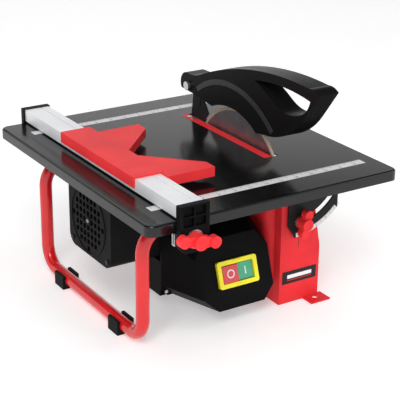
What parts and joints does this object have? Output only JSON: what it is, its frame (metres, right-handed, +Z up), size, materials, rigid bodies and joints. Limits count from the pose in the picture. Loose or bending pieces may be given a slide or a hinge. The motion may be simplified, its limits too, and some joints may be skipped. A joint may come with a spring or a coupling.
{
  "type": "tile cutter",
  "caption": "Electric wet tile cutter with a tilting table, diamond blade, sliding fence and angle guide, blade guard, water tank and tube stand.",
  "frame": {"origin": "on the bench, under the middle of the blade (blade plane X = 0, arbor plane Y = 0)", "axes": "+X to the right (arbor axis), +Y to the back (cutting direction), +Z up"},
  "size_m": [0.32, 0.4014, 0.2726],
  "materials": {
    "red_steel": "red powder coat",
    "red_tube": "glossy red powder coat",
    "black_table": "gloss black powder coat",
    "black_steel": "satin black powder coat",
    "black_plastic": "fine-grained black plastic",
    "guard_plastic": "fine-grained black plastic",
    "red_plastic": "red moulded plastic",
    "yellow_plastic": "yellow moulded plastic",
    "stop_red": "red tinted plastic",
    "start_green": "green tinted plastic",
    "aluminium": "anodised, fine brushed",
    "zinc": "bright zinc",
    "steel": "machined",
    "blade_steel": "ground disc with a sintered rim",
    "laminations": "varnished laminations",
    "copper": "enamelled copper wire",
    "rule_print": "printed strip",
    "name_plate": "plain plate",
    "capacitor": "plastic can"
  },
  "bodies": {
    "base": {"front_column": "red_steel", "rear_column": "red_steel", "base_pan": "red_steel", "water_tank": "red_steel", "motor_plate": "black_steel", "name_plate": "name_plate", "stand_tube": "red_tube", "front_foot_clip": "black_plastic", "rear_foot_clip": "black_plastic", "stand_bolts": "zinc", "motor_casing": "black_plastic", "rear_end_shield": "steel", "fan_cover": "black_plastic", "end_cover_screws": "black_steel", "rear_bearing": "steel", "front_bearing": "steel", "stator_core": "laminations", "stator_windings": "copper", "switch_box_cover": "black_plastic", "terminal_box": "black_plastic", "cable_gland": "black_plastic", "run_capacitor": "capacitor", "switch_frame": "yellow_plastic", "switch_body": "black_plastic", "switch_box_screws": "zinc", "riving_knife": "black_steel", "knife_bracket": "black_steel", "knife_bolts": "zinc", "guard_bolt": "zinc", "front_bevel_bolt": "zinc", "rear_bevel_bolt": "zinc"},
    "rotor": {"motor_shaft": "steel", "rotor_core": "laminations", "cooling_fan": "black_plastic", "cutting_blade": "blade_steel", "inner_flange": "steel", "outer_flange": "steel", "arbor_nut": "steel"},
    "guard": {"guard_left_half": "guard_plastic", "guard_right_half": "guard_plastic"},
    "table": {"table_plate": "black_table", "front_rule": "rule_print", "rear_rule": "rule_print", "table_insert": "red_plastic", "insert_screws": "zinc", "front_bevel_bracket": "black_steel", "rear_bevel_bracket": "black_steel", "tilt_scale": "rule_print"},
    "front_tilt_knob": {"front_bevel_knob": "red_plastic"},
    "rear_tilt_knob": {"rear_bevel_knob": "red_plastic"},
    "stop_key": {"stop_button": "stop_red"},
    "start_key": {"start_button": "start_green"},
    "fence": {"fence_rail": "aluminium", "front_fence_clamp": "black_plastic", "rear_fence_clamp": "black_plastic", "front_clamp_hook": "zinc", "rear_clamp_hook": "zinc"},
    "front_fence_knob": {"front_clamp_knob": "red_plastic"},
    "rear_fence_knob": {"rear_clamp_knob": "red_plastic"},
    "guide": {"angle_guide": "red_plastic"}
  },
  "joints": [
    {"name": "blade_spin", "type": "hinge", "parent": "base", "child": "rotor", "pos_m": [0, 0, 0.115], "axis": [1, 0, 0], "continuous": true},
    {"name": "guard_lift", "type": "hinge", "parent": "base", "child": "guard", "pos_m": [0, 0.093, 0.213], "axis": [-1, 0, 0], "range_deg": [0, 50]},
    {"name": "table_tilt", "type": "hinge", "parent": "base", "child": "table", "pos_m": [0, 0, 0.171], "axis": [0, 1, 0], "range_deg": [0, 45]},
    {"name": "front_tilt_knob_turn", "type": "hinge", "parent": "base", "child": "front_tilt_knob", "pos_m": [0.01095, -0.12, 0.10186], "axis": [0, 1, 0], "range_deg": [-180, 180]},
    {"name": "rear_tilt_knob_turn", "type": "hinge", "parent": "base", "child": "rear_tilt_knob", "pos_m": [0.01095, 0.12, 0.10186], "axis": [0, 1, 0], "range_deg": [-180, 180]},
    {"name": "stop_button_press", "type": "slide", "parent": "base", "child": "stop_key", "axis": [0, 0.9483, -0.3173], "range_m": [0, 0.0025], "stiffness_N_per_m": 300, "springref_m": -0.001},
    {"name": "start_button_press", "type": "slide", "parent": "base", "child": "start_key", "axis": [0, 0.9483, -0.3173], "range_m": [0, 0.0025], "stiffness_N_per_m": 300, "springref_m": -0.001},
    {"name": "fence_slide", "type": "slide", "parent": "table", "child": "fence", "axis": [1, 0, 0], "range_m": [-0.014, 0.06]},
    {"name": "front_fence_knob_turn", "type": "hinge", "parent": "fence", "child": "front_fence_knob", "pos_m": [-0.1775, -0.19, 0.151], "axis": [0, 1, 0], "range_deg": [-180, 180]},
    {"name": "rear_fence_knob_turn", "type": "hinge", "parent": "fence", "child": "rear_fence_knob", "pos_m": [-0.1775, 0.19, 0.151], "axis": [0, 1, 0], "range_deg": [-180, 180]},
    {"name": "guide_slide", "type": "slide", "parent": "fence", "child": "guide", "axis": [0, 1, 0], "range_m": [-0.065, 0.095]}
  ]
}
